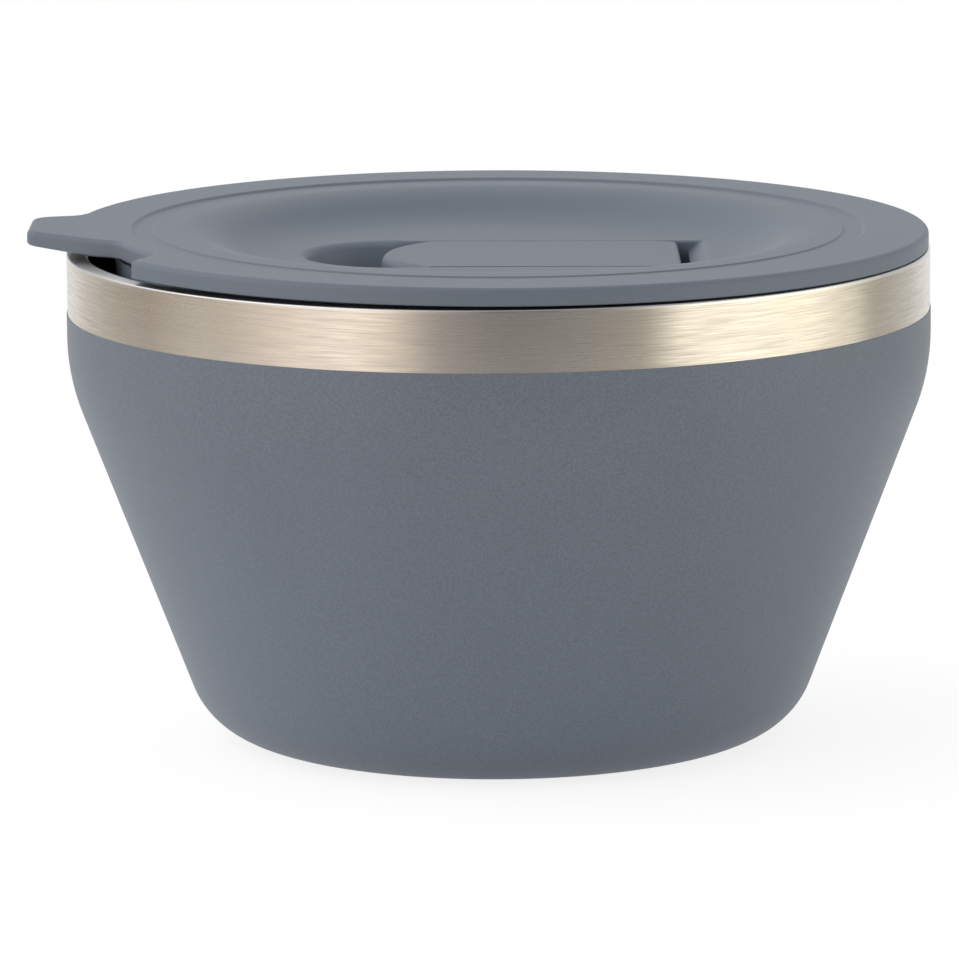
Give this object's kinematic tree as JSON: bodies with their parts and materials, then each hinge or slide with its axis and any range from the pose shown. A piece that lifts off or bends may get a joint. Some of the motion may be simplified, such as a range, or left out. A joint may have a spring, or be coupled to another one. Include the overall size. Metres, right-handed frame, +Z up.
{
  "type": "insulated bowl",
  "caption": "Double-walled stainless bowl with a blue-grey powder coat, a bare steel band and a lift-off lid with a pull tab and a hinged vent flap.",
  "frame": {"origin": "on the bowl's axis, in the plane that the bowl stands on", "axes": "+Z up along the bowl's axis; -Y is the front; the lid's pull tab points to -X and its vent flap is hinged on the +X side"},
  "size_m": [0.1584, 0.152, 0.0911],
  "materials": {
    "brushed_band": "bare stainless steel, brushed around the bowl",
    "liner_steel": "bright polished stainless steel",
    "powder_coat": "fine-textured satin powder coat, blue-grey",
    "lid_plastic": "moulded polypropylene with a fine matt texture, blue-grey",
    "silicone": "soft silicone, grey",
    "seal_bead": "fused solder glass, dark",
    "getter": "pressed metal powder, dark grey"
  },
  "bodies": {
    "bowl": {"outer_shell": "brushed_band", "powder_coat": "powder_coat", "inner_liner": "liner_steel", "base_plate": "liner_steel", "port_seal_bead": "seal_bead", "getter_cup": "liner_steel", "getter_pellet": "getter", "base_cover": "brushed_band"},
    "lid": {"lid_body": "lid_plastic", "lid_gasket": "silicone"},
    "flap": {"vent_flap": "lid_plastic", "flap_pin": "liner_steel", "vent_plug": "silicone"}
  },
  "joints": [
    {"name": "lid_lift", "type": "slide", "parent": "bowl", "child": "lid", "axis": [0, 0, 1], "range_m": [0, 0.04]},
    {"name": "vent_flap_hinge", "type": "hinge", "parent": "lid", "child": "flap", "pos_m": [0.02847, 0, 0.08214], "axis": [0, 1, 0], "range_deg": [0, 95]}
  ]
}
